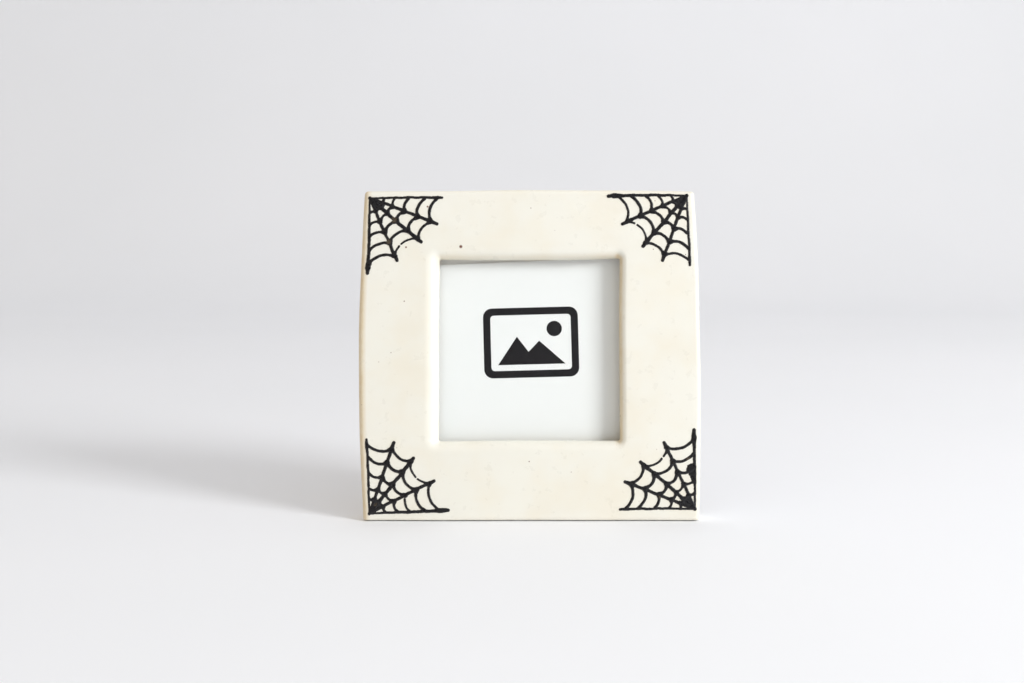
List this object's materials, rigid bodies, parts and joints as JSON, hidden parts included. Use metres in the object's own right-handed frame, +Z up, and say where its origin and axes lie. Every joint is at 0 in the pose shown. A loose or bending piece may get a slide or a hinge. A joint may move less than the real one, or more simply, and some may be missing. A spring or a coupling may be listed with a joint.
{
  "type": "photo frame",
  "caption": "Square glazed ceramic tabletop frame with raised cobwebs in its corners, a glazed sight opening, a folding easel leg and a wall ring.",
  "frame": {"origin": "middle of the bounding box, on the surface that the frame stands on", "axes": "+X to the right as seen from the front, +Y from the front to the back, +Z up; the front faces -Y and leans back by 9 degrees"},
  "size_m": [0.15, 0.0456, 0.1429],
  "materials": {
    "cream_glaze": "satin glaze, bare clay behind",
    "black_enamel": "gloss",
    "clear_glass": "polished",
    "print_paper": "matt",
    "white_card": "matt",
    "black_board": "flock-papered fibreboard",
    "nickel_steel": "nickel plated, satin",
    "turned_brass": "turned"
  },
  "bodies": {
    "frame": {"ceramic_frame": "cream_glaze", "web_upper_left": "black_enamel", "web_upper_right": "black_enamel", "web_lower_right": "black_enamel", "web_lower_left": "black_enamel", "glass_pane": "clear_glass", "print_insert": "print_paper", "filler_card": "white_card", "backing_board": "black_board", "insert_upper_left": "turned_brass", "insert_lower_left": "turned_brass", "insert_upper_right": "turned_brass", "insert_lower_right": "turned_brass", "button_screw_upper_left": "nickel_steel", "button_screw_lower_left": "nickel_steel", "button_screw_upper_right": "nickel_steel", "button_screw_lower_right": "nickel_steel", "hinge_bracket": "nickel_steel", "hinge_pin": "nickel_steel", "bracket_rivet_left": "nickel_steel", "bracket_rivet_right": "nickel_steel", "hanger_strap": "nickel_steel", "hanger_rivet": "nickel_steel"},
    "leg": {"easel_leg": "black_board", "leg_leaf": "nickel_steel", "leg_rivet_left": "nickel_steel", "leg_rivet_right": "nickel_steel"},
    "ring": {"hanger_ring": "nickel_steel"},
    "button_upper_left": {"turn_button_upper_left": "nickel_steel"},
    "button_lower_left": {"turn_button_lower_left": "nickel_steel"},
    "button_upper_right": {"turn_button_upper_right": "nickel_steel"},
    "button_lower_right": {"turn_button_lower_right": "nickel_steel"}
  },
  "joints": [
    {"name": "leg_fold", "type": "hinge", "parent": "frame", "child": "leg", "pos_m": [0, 0.00939, 0.07988], "axis": [1, 0, 0], "range_deg": [-20, 0]},
    {"name": "ring_swing", "type": "hinge", "parent": "frame", "child": "ring", "pos_m": [0, 0.0106, 0.11227], "axis": [1, 0, 0], "range_deg": [-9, 168]},
    {"name": "button_turn_upper_left", "type": "hinge", "parent": "frame", "child": "button_upper_left", "pos_m": [-0.05303, 0.00645, 0.09663], "axis": [0, 0.9877, -0.1564], "continuous": true},
    {"name": "button_turn_lower_left", "type": "hinge", "parent": "frame", "child": "button_lower_left", "pos_m": [-0.05303, -0.00137, 0.04724], "axis": [0, 0.9877, -0.1564], "continuous": true},
    {"name": "button_turn_upper_right", "type": "hinge", "parent": "frame", "child": "button_upper_right", "pos_m": [0.05297, 0.00645, 0.09663], "axis": [0, 0.9877, -0.1564], "continuous": true},
    {"name": "button_turn_lower_right", "type": "hinge", "parent": "frame", "child": "button_lower_right", "pos_m": [0.05297, -0.00137, 0.04724], "axis": [0, 0.9877, -0.1564], "continuous": true}
  ]
}
